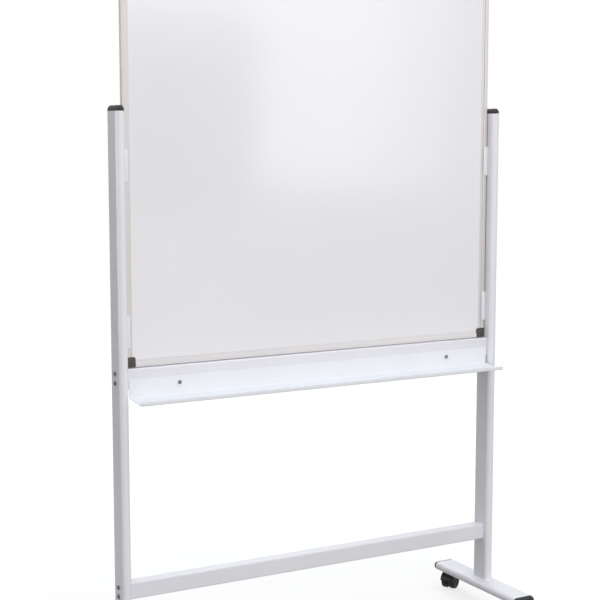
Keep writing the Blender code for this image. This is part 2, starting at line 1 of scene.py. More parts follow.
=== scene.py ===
# %% [markdown]
# # A rolling whiteboard
# The object is a square whiteboard that hangs between two white posts on wheeled feet, with a pen tray
# under it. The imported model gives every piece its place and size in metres. This lesson dresses that
# model: it makes rounder and finer pieces where the eye looks closely, and gives each surface a finish of
# its own.

# %% The fixed frame
import json
from math import cos, pi, radians, sin, tan

import bmesh
import bpy
from mathutils import Matrix, Vector


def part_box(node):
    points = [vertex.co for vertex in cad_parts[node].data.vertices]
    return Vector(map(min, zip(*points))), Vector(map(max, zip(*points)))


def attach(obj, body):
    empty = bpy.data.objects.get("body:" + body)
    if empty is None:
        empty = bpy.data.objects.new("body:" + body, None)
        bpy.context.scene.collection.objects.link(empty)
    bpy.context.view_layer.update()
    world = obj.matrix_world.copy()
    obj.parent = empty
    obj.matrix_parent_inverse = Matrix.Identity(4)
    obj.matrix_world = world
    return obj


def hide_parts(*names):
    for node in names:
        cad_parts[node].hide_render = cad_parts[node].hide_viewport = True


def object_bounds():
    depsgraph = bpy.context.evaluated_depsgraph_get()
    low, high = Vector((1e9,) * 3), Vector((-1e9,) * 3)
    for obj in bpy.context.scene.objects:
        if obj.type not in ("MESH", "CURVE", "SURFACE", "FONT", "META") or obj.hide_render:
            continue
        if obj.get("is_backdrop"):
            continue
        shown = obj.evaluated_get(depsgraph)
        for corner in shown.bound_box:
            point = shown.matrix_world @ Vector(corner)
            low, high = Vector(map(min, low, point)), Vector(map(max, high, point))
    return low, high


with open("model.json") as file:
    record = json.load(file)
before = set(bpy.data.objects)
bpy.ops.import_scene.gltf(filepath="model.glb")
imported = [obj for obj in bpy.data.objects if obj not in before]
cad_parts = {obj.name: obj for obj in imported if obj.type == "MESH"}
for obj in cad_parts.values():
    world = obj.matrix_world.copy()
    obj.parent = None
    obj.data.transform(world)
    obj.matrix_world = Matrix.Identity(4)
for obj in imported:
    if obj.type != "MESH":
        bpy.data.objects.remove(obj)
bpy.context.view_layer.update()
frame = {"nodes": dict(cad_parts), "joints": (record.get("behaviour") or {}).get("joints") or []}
STAND = "stand_and_board"
SIDES = {"left": -1, "right": 1}
ENDS = {"front": -1, "rear": 1}

# %% [markdown]
# ## Camera
# The photographer stood to the left of the board at about eye height. A camera can be set by eye, but
# straight edges give it more surely: the lens, place and turn below were found by fitting the edges of
# the posts, bars, tray and board, so that the model lines up with the photograph. The camera has no shift
# and no depth of field.

# %% Camera
LENS_MM = 83.74
SENSOR_MM = 36.0
CAMERA_PLACE = (-2.0126, -3.5043, 1.5139)
LOOK_RIGHT = radians(29.19)
LOOK_DOWN = radians(6.89)

lens = bpy.data.cameras.new("photo_camera")
lens.lens = LENS_MM
lens.sensor_width = SENSOR_MM
camera = bpy.data.objects.new("photo_camera", lens)
camera.location = CAMERA_PLACE
camera.rotation_euler = (pi / 2 - LOOK_DOWN, 0, -LOOK_RIGHT)
bpy.context.scene.collection.objects.link(camera)
bpy.context.scene.camera = camera
bpy.context.scene.view_settings.view_transform = "Standard"
print("camera height in mm:", round(1000 * camera.location.z))

# %% [markdown]
# ## Helpers for node materials
# A real coat of paint or a moulded plastic is never one flat colour. Pictures could give it its patterns,
# but noise in metres on Object coordinates needs no unwrapping and keeps its scale on every piece. So
# each finish is a Principled shader with a fine grain for its bump, and a broader, fainter pattern for
# its colour and roughness. A noise keeps mostly to the middle of its range, so the helpers stretch that
# middle over the two values that they are given.

# %% Helpers for node materials
NOISE_LOW = 0.3
NOISE_HIGH = 0.7


def principled(material):
    """The material's shader node."""
    return material.node_tree.nodes["Principled BSDF"]


def new_finish(name, colour, roughness, metallic=0.0):
    """A material that starts as one plain Principled shader."""
    material = bpy.data.materials.new(name)
    material.use_nodes = True
    shader = principled(material)
    shader.inputs["Base Color"].default_value = (*colour, 1)
    shader.inputs["Roughness"].default_value = roughness
    shader.inputs["Metallic"].default_value = metallic
    return material


def add_node(owner, kind, values=None):
    """A new node in a material or a world, with some of its sockets set."""
    node = owner.node_tree.nodes.new(kind)
    for socket, value in (values or {}).items():
        node.inputs[socket].default_value = value
    return node


def grain(material, per_metre, detail=2.0, stretch=(1, 1, 1)):
    """A noise pattern on the object's own metres, drawn out along an axis where stretch is small."""
    place = add_node(material, "ShaderNodeTexCoord")
    mapping = add_node(material, "ShaderNodeMapping", {"Scale": stretch})
    noise = add_node(material, "ShaderNodeTexNoise", {"Scale": per_metre, "Detail": detail})
    material.node_tree.links.new(place.outputs["Object"], mapping.inputs["Vector"])
    material.node_tree.links.new(mapping.outputs["Vector"], noise.inputs["Vector"])
    return noise.outputs["Fac"]


def tint(material, pattern, dark, light):
    """Lets the pattern move the base colour between two near colours."""
    ramp = add_node(material, "ShaderNodeValToRGB")
    ramp.color_ramp.elements[0].position = NOISE_LOW
    ramp.color_ramp.elements[0].color = (*dark, 1)
    ramp.color_ramp.elements[1].position = NOISE_HIGH
    ramp.color_ramp.elements[1].color = (*light, 1)
    material.node_tree.links.new(pattern, ramp.inputs["Fac"])
    material.node_tree.links.new(ramp.outputs["Color"], principled(material).inputs["Base Color"])


def vary_gloss(material, pattern, smooth, rough):
    """Lets the pattern move the roughness between two values."""
    reach = {"From Min": NOISE_LOW, "From Max": NOISE_HIGH, "To Min": smooth, "To Max": rough}
    spread = add_node(material, "ShaderNodeMapRange", reach)
    material.node_tree.links.new(pattern, spread.inputs["Value"])
    material.node_tree.links.new(spread.outputs["Result"], principled(material).inputs["Roughness"])


def emboss(material, pattern, depth):
    """Raises the surface's shading by the pattern, to a depth in metres."""
    bump = add_node(material, "ShaderNodeBump", {"Strength": 1.0, "Distance": depth})
    material.node_tree.links.new(pattern, bump.inputs["Height"])
    material.node_tree.links.new(bump.outputs["Normal"], principled(material).inputs["Normal"])


print("helpers for finishes are ready")

# %% [markdown]
# ## Floor and world
# The photograph has a white background with only a trace of shadow on the floor. Strong lamps could burn
# a floor out to white, but it would then light the object from below. So the floor and the world show as
# white to the camera and to glossy rays, and stay a plain level for the light itself.

# %% Floor and world
FLOOR_HALF = 9.0
FLOOR_ALBEDO = 0.24
GLOW_NEAR = 0.75
GLOW_FAR = 0.9
GLOW_FADE = (1.0, 3.5)
WORLD_LIGHT = 0.53


def seen_directly(owner):
    """One for rays from the camera, and from mirrors and glass; zero for light that bounces."""
    path = add_node(owner, "ShaderNodeLightPath")
    level = path.outputs["Is Camera Ray"]
    for ray in ("Is Glossy Ray", "Is Transmission Ray"):
        larger = add_node(owner, "ShaderNodeMath")
        larger.operation = "MAXIMUM"
        owner.node_tree.links.new(level, larger.inputs[0])
        owner.node_tree.links.new(path.outputs[ray], larger.inputs[1])
        level = larger.outputs["Value"]
    return level


def studio_floor():
    """White floor: a glow that only the camera and glossy rays see, over paint that takes the shadow."""
    material = new_finish("studio_floor", 3 * [FLOOR_ALBEDO], roughness=1.0)
    shader = principled(material)
    shader.inputs["Specular IOR Level"].default_value = 0.0
    shader.inputs["Emission Color"].default_value = (1, 1, 1, 1)
    place = add_node(material, "ShaderNodeTexCoord")
    reach = add_node(material, "ShaderNodeVectorMath")
    reach.operation = "LENGTH"
    near, far = GLOW_FADE
    span = {"From Min": near, "From Max": far, "To Min": GLOW_NEAR, "To Max": GLOW_FAR}
    fade = add_node(material, "ShaderNodeMapRange", span)
    glow = add_node(material, "ShaderNodeMath")
    glow.operation = "MULTIPLY"
    links = material.node_tree.links
    links.new(place.outputs["Object"], reach.inputs[0])
    links.new(reach.outputs["Value"], fade.inputs["Value"])
    links.new(seen_directly(material), glow.inputs[0])
    links.new(fade.outputs["Result"], glow.inputs[1])
    links.new(glow.outputs["Value"], shader.inputs["Emission Strength"])
    return material


def studio_world():
    """Even light from all round, seen as plain white."""
    world = bpy.data.worlds.new("studio_world")
    world.use_nodes = True
    strength = add_node(world, "ShaderNodeMapRange", {"To Min": WORLD_LIGHT, "To Max": 1.0})
    background = world.node_tree.nodes["Background"]
    background.inputs["Color"].default_value = (1, 1, 1, 1)
    world.node_tree.links.new(seen_directly(world), strength.inputs["Value"])
    world.node_tree.links.new(strength.outputs["Result"], background.inputs["Strength"])
    return world


def show(name, bm, material=None):
    """Puts a bmesh into the scene as an object at the origin."""
    mesh = bpy.data.meshes.new(name)
    bm.to_mesh(mesh)
    if material:
        mesh.materials.append(material)
    thing = bpy.data.objects.new(name, mesh)
    bpy.context.scene.collection.objects.link(thing)
    return thing


bm = bmesh.new()
bmesh.ops.create_grid(bm, x_segments=1, y_segments=1, size=FLOOR_HALF)
floor = show("floor", bm, studio_floor())
bm.free()
floor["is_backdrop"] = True
bpy.context.scene.world = studio_world()
print("floor half width in m:", FLOOR_HALF)

# %% [markdown]
# ## Lamps
# Product photographs are lit with large soft lamps. One overhead lights the tray and the feet, one behind
# draws a bright line along their edges, a large one in front fills the writing side, and a weak one at
# the left lifts the outer sides of the posts. A picture of a room could be mirrored in the glossy board.
# Panels that only mirrors see were chosen, because each can be set without changing the rest: three at
# the front right make the pale patch in the board's upper half, and one at the left is for the posts'
# sides.

# %% Lamps


def soft_box(name, place, target, size, power, colour, seen_by):
    """A rectangular lamp that faces a point and lights matt surfaces, mirrors or both."""
    lamp = bpy.data.lights.new(name, "AREA")
    lamp.shape = "RECTANGLE"
    lamp.size, lamp.size_y = size
    lamp.energy = power
    lamp.color = colour
    stand = bpy.data.objects.new(name, lamp)
    stand.location = place
    stand.rotation_euler = (Vector(target) - Vector(place)).to_track_quat("-Z", "Y").to_euler()
    stand.visible_camera = False
    stand.visible_diffuse = "matt" in seen_by
    stand.visible_glossy = "mirrors" in seen_by
    bpy.context.scene.collection.objects.link(stand)


# Each call gives the name, the place, the target, the size in metres, the power in watts, the colour and
# what sees the lamp.
WARM = (1.0, 0.975, 0.96)
WARMER = (1.0, 0.95, 0.9)
COOL = (0.90, 0.965, 1.0)
BOTH = ("matt", "mirrors")
soft_box("overhead_lamp", (0.0, -0.3, 4.4), (0.0, -0.1, 0.0), (3.0, 2.4), 88, COOL, BOTH)
soft_box("rear_lamp", (1.6, 3.4, 2.9), (0.2, 0.0, 0.6), (3.2, 1.6), 38, COOL, BOTH)
soft_box("front_lamp", (-0.3, -6.5, 2.4), (0.0, 0.0, 1.0), (2.6, 2.4), 192, WARM, ["matt"])
soft_box("left_lamp", (-2.8, -0.6, 2.3), (-0.6, 0.0, 1.2), (1.4, 1.4), 4, WARM, ["matt"])
soft_box("left_panel", (-3.2, 1.3, 1.8), (0.0, 1.3, 1.8), (2.4, 2.4), 70, WARM, ["mirrors"])
soft_box("right_panel", (2.06, -3.5, 1.90), (2.06, 0.0, 1.90), (0.90, 1.45), 10.8, WARMER, ["mirrors"])
soft_box("edge_panel", (2.73, -3.5, 1.90), (2.73, 0.0, 1.90), (0.44, 1.45), 2.7, WARMER, ["mirrors"])
soft_box("top_panel", (1.40, -3.5, 2.50), (1.40, 0.0, 2.50), (2.2, 0.7), 10.5, WARMER, ["mirrors"])

# %% [markdown]
# ## Dark flags
# Photographers also hang dark cloth where a glossy surface should mirror less. The front flag is the
# quieter place beside the board's pale patch, and the left flag stands behind the board for the posts'
# sides. Weaker lamps would dim the matt surfaces too, so these are panels that only mirrors see.

# %% Dark flags
FLAG_CLOTH = (0.03, 0.03, 0.03)
LEFT_FLAG = Vector((-1.905, 1.3, 0.0)), Vector((-1.895, 5.0, 3.4))
FRONT_FLAG = Vector((0.80, -3.525, 1.05)), Vector((1.58, -3.515, 1.95))


def block(bm, low, high):
    """A plain block between two corners."""
    low, high = Vector(low), Vector(high)
    size = Matrix.Diagonal((*(high - low), 1))
    bmesh.ops.create_cube(bm, size=1, matrix=Matrix.Translation((low + high) / 2) @ size)


def dark_flag(name, low, high):
    """Upright panel of dark cloth between two corners, which only mirrors see."""
    cloth = new_finish(f"{name}_cloth", FLAG_CLOTH, roughness=0.5)
    principled(cloth).inputs["Specular IOR Level"].default_value = 0.0
    bm = bmesh.new()
    block(bm, low, high)
    flag = show(name, bm, cloth)
    bm.free()
    flag.visible_camera = False
    flag.visible_diffuse = False
    flag.visible_shadow = False
    return flag


dark_flag("left_flag", *LEFT_FLAG)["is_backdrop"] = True
dark_flag("front_flag", *FRONT_FLAG)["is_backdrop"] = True
print("left flag's height in m:", LEFT_FLAG[1].z)

# %% [markdown]
# ## White powder coat
# The posts, feet, crossbars and brackets are steel under a baked white powder. Up close the powder melts
# into a fine orange-peel skin, and its gloss wavers a little from place to place. The skin could be
# modelled, but it is only some hundredths of a millimetre deep, so a bump in the shading is enough. The
# tray has the same coat, but with painted light in its colour: it is a touch bluer, for the cool lamp
# above it.

# %% White powder coat


def powder_coat(name, dark, light):
    """Satin white paint with an orange-peel skin."""
    material = new_finish(name, light, roughness=0.4)
    tint(material, grain(material, per_metre=6, detail=4), dark, light)
    vary_gloss(material, grain(material, per_metre=40, detail=3), smooth=0.34, rough=0.46)
    emboss(material, grain(material, per_metre=900, detail=1), depth=0.00003)
    return material


white_coat = powder_coat("white_powder_coat", (0.735, 0.73, 0.775), (0.765, 0.76, 0.805))
# The tray's copy of the coat is painted a touch bluer: this is painted light from the cool lamp above, not
# a different paint.
tray_coat_painted_cool = powder_coat("white_tray_coat", (0.735, 0.75, 0.79), (0.76, 0.775, 0.815))
print("coats:", white_coat.name, tray_coat_painted_cool.name)

# %% [markdown]
# ## Writing face and the sheets behind it
# The writing face is enamelled steel: smooth, glossy and very slightly wavy, so that what it mirrors has
# soft, uneven edges. The waves could be in the mesh, but a slow bump leaves the sheet flat where the
# rails grip it. Faint wiping marks change the gloss and not the colour. The rear sheet is plain coated
# steel, and the fibre core between them shows only at its edges.

# %% Writing face and the sheets behind it


def writing_enamel():
    """Glossy white enamel with wiping marks and a slow waviness."""
    material = new_finish("white_enamel", (0.795, 0.785, 0.815), roughness=0.135)
    clouds = grain(material, per_metre=1.6, detail=2)
    tint(material, clouds, dark=(0.787, 0.777, 0.807), light=(0.803, 0.793, 0.823))
    wiping = grain(material, per_metre=5, detail=5, stretch=(1, 1, 0.35))
    vary_gloss(material, wiping, smooth=0.12, rough=0.15)
    emboss(material, grain(material, per_metre=3.2, detail=1), depth=0.0012)
    return material


def rear_coat():
    """Light grey coil-coated steel with a fine stipple."""
    material = new_finish("grey_backing_coat", (0.60, 0.61, 0.63), roughness=0.45)
    clouds = grain(material, per_metre=4, detail=3)
    tint(material, clouds, dark=(0.585, 0.595, 0.615), light=(0.615, 0.625, 0.645))
    vary_gloss(material, grain(material, per_metre=60, detail=2), smooth=0.4, rough=0.52)
    emboss(material, grain(material, per_metre=700, detail=1), depth=0.00002)
    return material


def fibre_core():
    """Pressed brown fibre."""
    material = new_finish("fibre_core", (0.45, 0.36, 0.25), roughness=0.9)
    fibres = grain(material, per_metre=300, detail=6)
    tint(material, fibres, dark=(0.36, 0.28, 0.19), light=(0.52, 0.42, 0.30))
    emboss(material, grain(material, per_metre=800, detail=3), depth=0.0001)
    return material


enamel = writing_enamel()
backing = rear_coat()
core = fibre_core()
print("sheets:", enamel.name, backing.name, core.name)

# %% [markdown]
# ## Satin aluminium
# The frame rails are anodised extrusions. The drawing die and the brushing leave fine lines along each
# rail. An anisotropic shader could spread the highlight as they do, but noise that is drawn out also
# shows the lines themselves. It is stretched by lines per metre, many across a rail and few along it, so
# the flat and the upright rails need a finish each. The two finishes are one metal. The flat rails' colour
# is painted lighter, as painted light, and the upright rails' colour is painted darker, as painted shade.

# %% Satin aluminium
STREAK_DARK = 0.96
STREAK_LIGHT = 1.04


def satin_aluminium(name, stretch, colour):
    """Anodised aluminium with fine lines along one axis."""
    base = Vector(colour)
    material = new_finish(name, colour, roughness=0.45, metallic=0.3)
    lines = grain(material, per_metre=1, detail=3, stretch=stretch)
    tint(material, lines, dark=STREAK_DARK * base, light=STREAK_LIGHT * base)
    vary_gloss(material, lines, smooth=0.4, rough=0.5)
    emboss(material, lines, depth=0.00001)
    return material


FINE_LINES = 1600
LONG_LINES = 3
# One metal in two colours: the flat rails are painted lighter (painted light) and the upright rails darker
# (painted shade).
FLAT_COLOUR_PAINTED_LIGHT = (0.665, 0.645, 0.66)
UPRIGHT_COLOUR_PAINTED_SHADE = (0.605, 0.582, 0.572)
flat_aluminium = satin_aluminium("satin_aluminium_flat", (LONG_LINES, FINE_LINES, FINE_LINES), FLAT_COLOUR_PAINTED_LIGHT)
upright_aluminium = satin_aluminium(
    "satin_aluminium_upright", (FINE_LINES, FINE_LINES, LONG_LINES), UPRIGHT_COLOUR_PAINTED_SHADE
)
print("rails:", flat_aluminium.name, upright_aluminium.name)

# %% [markdown]
# ## Plastics and plated steel
# The caps, corners and casters are moulded. Their moulds are lightly etched, which breaks the highlight
# up into a fine grain. Bolts and screws are zinc plated, with a faint cloudiness in the plating, and the
# bolts are darker than the small screws. Each could be built by hand, but one function for each family
# keeps its members alike.

# %% Plastics and plated steel
PLASTIC_SHEEN = 0.22


def moulded(name, dark, light, smooth, rough):
    """Coloured plastic with the fine grain of an etched mould."""
    material = new_finish(name, light, rough)
    principled(material).inputs["Specular IOR Level"].default_value = PLASTIC_SHEEN
    tint(material, grain(material, per_metre=25, detail=3), dark, light)
    vary_gloss(material, grain(material, per_metre=120, detail=3), smooth, rough)
    emboss(material, grain(material, per_metre=1500, detail=2), depth=0.00004)
    return material


def zinc_plate(name, dark, light):
    """Zinc with a cloudy plating."""
    material = new_finish(name, light, roughness=0.25, metallic=1.0)
    tint(material, grain(material, per_metre=220, detail=3), dark, light)
    vary_gloss(material, grain(material, per_metre=400, detail=3), smooth=0.18, rough=0.3)
    return material


# Each call gives the name, the darker and the lighter colour and, for plastics, the range of roughness.
corner_plastic = moulded("corner_plastic", (0.075, 0.066, 0.062), (0.095, 0.084, 0.078), 0.42, 0.55)
cap_plastic = moulded("cap_plastic", (0.026, 0.024, 0.027), (0.036, 0.033, 0.036), 0.4, 0.55)
hood_plastic = moulded("hood_plastic", (0.012, 0.011, 0.0095), (0.018, 0.0165, 0.014), 0.38, 0.5)
wheel_plastic = moulded("wheel_plastic", (0.010, 0.0095, 0.009), (0.016, 0.015, 0.014), 0.45, 0.6)
bolt_zinc = zinc_plate("black_zinc", (0.08, 0.08, 0.085), (0.13, 0.13, 0.135))
screw_zinc = zinc_plate("grey_zinc", (0.19, 0.19, 0.2), (0.27, 0.27, 0.28))
print("mouldings:", corner_plastic.name, cap_plastic.name, hood_plastic.name, wheel_plastic.name)
print("plating:", bolt_zinc.name, screw_zinc.name)

# %% [markdown]
# ## From bmesh to piece
# Every new piece ends the same way: its normals face out, it is shaded smooth up to a sharp angle, it
# rides on a body of the model and it stands for the solid that it replaces. A skin with a negative volume
# is inside out, so it is turned round. An object could be moved into place, but here the mesh holds the
# place and the object stays at the origin, so that a pattern runs on from piece to piece.

# %% From bmesh to piece
SHARP = radians(35)
STRAIGHT = 0.999


def put(name, bm, material, body=STAND, replaces=()):
    """Turns a bmesh into a finished piece that rides on a body."""
    bmesh.ops.recalc_face_normals(bm, faces=bm.faces)
    if bm.calc_volume(signed=True) < 0:
        bmesh.ops.reverse_faces(bm, faces=bm.faces)
    piece = show(name, bm, material)
    bm.free()
    piece.data.shade_smooth()
    piece.data.set_sharp_from_angle(angle=SHARP)
    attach(piece, body)
    if replaces:
        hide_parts(*replaces)
    return piece


def edges_where(bm, axis, test):
    """Edges along an axis (0, 1 or 2) whose middle passes the test."""
    found = []
    for edge in bm.edges:
        start, end = (vert.co for vert in edge.verts)
        if abs((end - start)[axis]) > STRAIGHT * edge.calc_length() and test((start + end) / 2):
            found.append(edge)
    return found


def round_off(bm, edges, radius, segments):
    """Rounds edges to a radius."""
    bmesh.ops.bevel(
        bm, geom=edges, offset=radius, segments=segments, profile=0.5, affect="EDGES", material=-1
    )


def move(bm, matrix):
    """Turns and shifts all of a bmesh."""
    bmesh.ops.transform(bm, matrix=matrix, verts=bm.verts)


# %% [markdown]
# ## Flat-oval tube
# Posts and feet are one steel tube with two flat sides and two half-round edges. Its outline could be
# drawn point by point, but a stretched cube whose four long edges are bevelled by half its thickness
# gives it in one step. Near its base each post flares out in the weld that joins it to the foot: a slab
# is inset to the tube's outline, the outline is pulled up, and the inner edge is rounded like a weld
# fillet.

# %% Flat-oval tube
cap_low, cap_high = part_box("left_post_cap")
TUBE_THIN = cap_high.x - cap_low.x
TUBE_WIDE = cap_high.y - cap_low.y
ARC_SEGMENTS = 20
HAIR = 0.00001
WELD = 0.008
WELD_ROUND = 0.95 * WELD
WELD_SLAB = 0.0003


def oval_block(bm, wide, thin, low, high):
    """Upright block with a flat-oval outline, wide along X."""
    block(bm, (-wide / 2, -thin / 2, low), (wide / 2, thin / 2, high))
    round_off(bm, edges_where(bm, 2, lambda middle: True), thin / 2 - HAIR, ARC_SEGMENTS)
    bmesh.ops.remove_doubles(bm, verts=bm.verts, dist=3 * HAIR)


def top_face(bm):
    """The highest face."""
    return max(bm.faces, key=lambda face: face.calc_center_median().z)


def pull_up(bm, face, rise):
    """Extrudes a face straight up and returns the moved face."""
    pulled = bmesh.ops.extrude_discrete_faces(bm, faces=[face])["faces"][0]
    bmesh.ops.translate(bm, verts=pulled.verts, vec=(0, 0, rise))
    return pulled


def post_piece(side_name):
    """One post with its weld flare."""
    low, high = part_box(f"{side_name}_post")
    bm = bmesh.new()
    oval_block(bm, TUBE_WIDE + 2 * WELD, TUBE_THIN + 2 * WELD, 0, WELD_SLAB)
    top = top_face(bm)
    bmesh.ops.inset_region(bm, faces=[top], thickness=WELD, use_even_offset=True)
    foot_line = list(top.edges)
    pull_up(bm, top, high.z - low.z - WELD_SLAB)
    round_off(bm, foot_line, WELD_ROUND, segments=8)
    stand_up = Matrix.Translation(((low.x + high.x) / 2, 0, low.z)) @ Matrix.Rotation(pi / 2, 4, "Z")
    move(bm, stand_up)
    return put(f"{side_name}_post_tube", bm, white_coat, replaces=[f"{side_name}_post"])


for side_name in SIDES:
    tube = post_piece(side_name)
    print(tube.name, "faces:", len(tube.data.polygons))

# %% [markdown]
# ## Feet
# Each foot is the same tube laid flat. Under each end a round flange is welded on, which takes the
# caster's stem. The flange is a short outline spun about the stem's axis, with its lower rim rounded like
# a turned part. It could simply be pushed into the tube, but a Boolean joins the two into one closed
# skin, as the weld does on the real foot.

# %% Feet
STEM_HOLE = 0.0053
FLANGE_RADIUS = 0.012
FLANGE_RIM = 0.0006
FLANGE_INTO_TUBE = 0.002
ROUND_STEPS = 48
joints = {joint["name"]: joint for joint in frame["joints"]}


def spun(bm, profile, steps, closed=False):
    """Turns a line of radius and height points about Z."""
    verts = [bm.verts.new((radius, 0, height)) for radius, height in profile]
    edges = [bm.edges.new(pair) for pair in zip(verts, verts[1:])]
    if closed:
        edges.append(bm.edges.new((verts[-1], verts[0])))
    bmesh.ops.spin(
        bm, geom=verts + edges, cent=(0, 0, 0), axis=(0, 0, 1), angle=2 * pi, steps=steps, use_merge=True
    )
    bmesh.ops.remove_doubles(bm, verts=bm.verts, dist=HAIR)


def rings_at(bm, places):
    """Edges of the rings at the given radii and heights about Z."""
    found = []
    for edge in bm.edges:
        for radius, height in places:
            ends = [abs(vert.co.to_2d().length - radius) + abs(vert.co.z - height) for vert in edge.verts]
            if max(ends) < HAIR and edge.calc_length() > HAIR:
                found.append(edge)
    return found


def combine(bm, part, how):
    """Joins a part to a bmesh (UNION) or cuts it out (DIFFERENCE), so that one closed skin is left."""
    solids = []
    for shape in (bm, part):
        bmesh.ops.recalc_face_normals(shape, faces=shape.faces)
        solids.append(show("solid", shape))
    part.free()
    base, tool = solids
    boolean = base.modifiers.new("boolean", "BOOLEAN")
    boolean.object = tool
    boolean.operation = how
    boolean.solver = "EXACT"
    joined = base.evaluated_get(bpy.context.evaluated_depsgraph_get())
    bm.clear()
    bm.from_mesh(joined.to_mesh())
    joined.to_mesh_clear()
    for solid in solids:
        bpy.data.meshes.remove(solid.data)
    bmesh.ops.remove_doubles(bm, verts=bm.verts, dist=HAIR)


def flange(low, high):
    """Round flange with a hole for the stem."""
    bm = bmesh.new()
    profile = [(STEM_HOLE, low), (FLANGE_RADIUS, low), (FLANGE_RADIUS, high), (STEM_HOLE, high)]
    spun(bm, profile, ROUND_STEPS, closed=True)
    round_off(bm, rings_at(bm, [(FLANGE_RADIUS, low)]), FLANGE_RIM, segments=3)
    return bm


def foot_piece(side_name):
    """One foot with its two flanges."""
    low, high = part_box(f"{side_name}_foot")
    middle = (low + high) / 2
    tube_bottom = high.z - TUBE_THIN
    bm = bmesh.new()
    oval_block(bm, TUBE_WIDE, TUBE_THIN, low.y, high.y)
    height = Matrix.Translation((middle.x, 0, tube_bottom + TUBE_THIN / 2))
    move(bm, height @ Matrix.Rotation(pi / 2, 4, "X"))
    for end_name in ENDS:
        across, depth, _ = joints[f"{end_name}_{side_name}_swivel"]["pos_m"]
        collar = flange(low.z, tube_bottom + FLANGE_INTO_TUBE)
        move(collar, Matrix.Translation((across, depth, 0)))
        combine(bm, collar, "UNION")
    return put(f"{side_name}_foot_tube", bm, white_coat, replaces=[f"{side_name}_foot"])


for side_name in SIDES:
    foot = foot_piece(side_name)
    print(foot.name, "faces:", len(foot.data.polygons))

# %% [markdown]
# ## Tube caps
# The six tube ends are closed with domed plastic plugs. A stretched sphere wouldn't meet the flat-oval
# outline. So each dome is the tube's own outline, inset again and again while it rises, with the steps
# following a quarter of an ellipse. The plug starts as a narrow upright band, which shows above the tube.

# %% Tube caps
CAP_RIDGE = 0.0027
CAP_BAND = 0.0008
CAP_RINGS = 14
CAP_SEAM = 0.0003


def dome_cap(tall):
    """Flat-oval dome on zero height."""
    bm = bmesh.new()
    oval_block(bm, TUBE_WIDE, TUBE_THIN, 0, CAP_BAND)
    top = top_face(bm)
    inward, rise = TUBE_THIN / 2 - CAP_RIDGE, tall - CAP_BAND
    done_in, done_up = 0.0, 0.0
    for ring in range(1, CAP_RINGS + 1):
        angle = pi / 2 * ring / CAP_RINGS
        reach_in, reach_up = inward * (1 - cos(angle)), rise * sin(angle)
        step_in, step_up = reach_in - done_in, reach_up - done_up
        bmesh.ops.inset_region(bm, faces=[top], thickness=step_in, depth=step_up, use_even_offset=True)
        done_in, done_up = reach_in, reach_up
    return bm


def cap_piece(node, matrix, tall):
    """One plug, placed by a matrix that puts its base on the tube's end."""
    bm = dome_cap(tall)
    move(bm, matrix)
    return put(f"{node}_dome", bm, cap_plastic, replaces=[node])


for side_name in SIDES:
    node = f"{side_name}_post_cap"
    low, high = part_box(node)
    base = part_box(f"{side_name}_post")[1].z + CAP_SEAM
    turn = Matrix.Rotation(pi / 2, 4, "Z")
    cap_piece(node, Matrix.Translation(((low.x + high.x) / 2, 0, base)) @ turn, high.z - base)
    foot_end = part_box(f"{side_name}_foot")[1].y
    for end_name, end in ENDS.items():
        node = f"{side_name}_{end_name}_foot_cap"
        low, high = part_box(node)
        base = end * (foot_end + CAP_SEAM)
        tall = max(abs(low.y), abs(high.y)) - abs(base)
        turn = Matrix.Rotation(-end * pi / 2, 4, "X")
        place = Matrix.Translation(((low.x + high.x) / 2, base, (low.z + high.z) / 2))
        cap_piece(node, place @ turn, tall)
print("cap dome height in mm:", round(1000 * tall, 1))

# %% [markdown]
# ## Crossbars
# Two rectangular tubes hold the posts apart, one under the board and one near the floor. Nobody sees into
# them, so each is a solid block rather than a hollow tube. The rounded long edges come from the tube
# mill, and the small break at each end is the cut that meets the post.

# %% Crossbars
BAR_ROUND = 0.004
CUT_BREAK = 0.0004


def bar_piece(level):
    """One crossbar between the posts."""
    low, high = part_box(f"{level}_crossbar")
    bm = bmesh.new()
    block(bm, low, high)
    round_off(bm, edges_where(bm, 0, lambda middle: True), BAR_ROUND, segments=10)
    cut = [edge for edge in bm.edges if all(abs(abs(vert.co.x) - high.x) < HAIR for vert in edge.verts)]
    round_off(bm, cut, CUT_BREAK, segments=2)
    return put(f"{level}_bar_tube", bm, white_coat, replaces=[f"{level}_crossbar"])


for level in ("upper", "lower"):
    bar = bar_piece(level)
    print(bar.name, "faces:", len(bar.data.polygons))

# %% [markdown]
# ## Bolts and screws
# Button-head bolts go through the posts into the bars, and smaller screws hold the tray and the board's
# brackets. Each head is a short cylinder with its rim rounded over. A Boolean could cut the key's socket,
# but it is cleaner to bridge the round top to a six-sided ring and to push the ring down. The rounding
# and the socket are shares of the head, so one function makes all three sizes.

# %% Bolts and screws
HEAD_SIDES = 36
HEAD_ROUND = 0.82
KEY_RADIUS = 0.42
KEY_DEPTH = 0.55


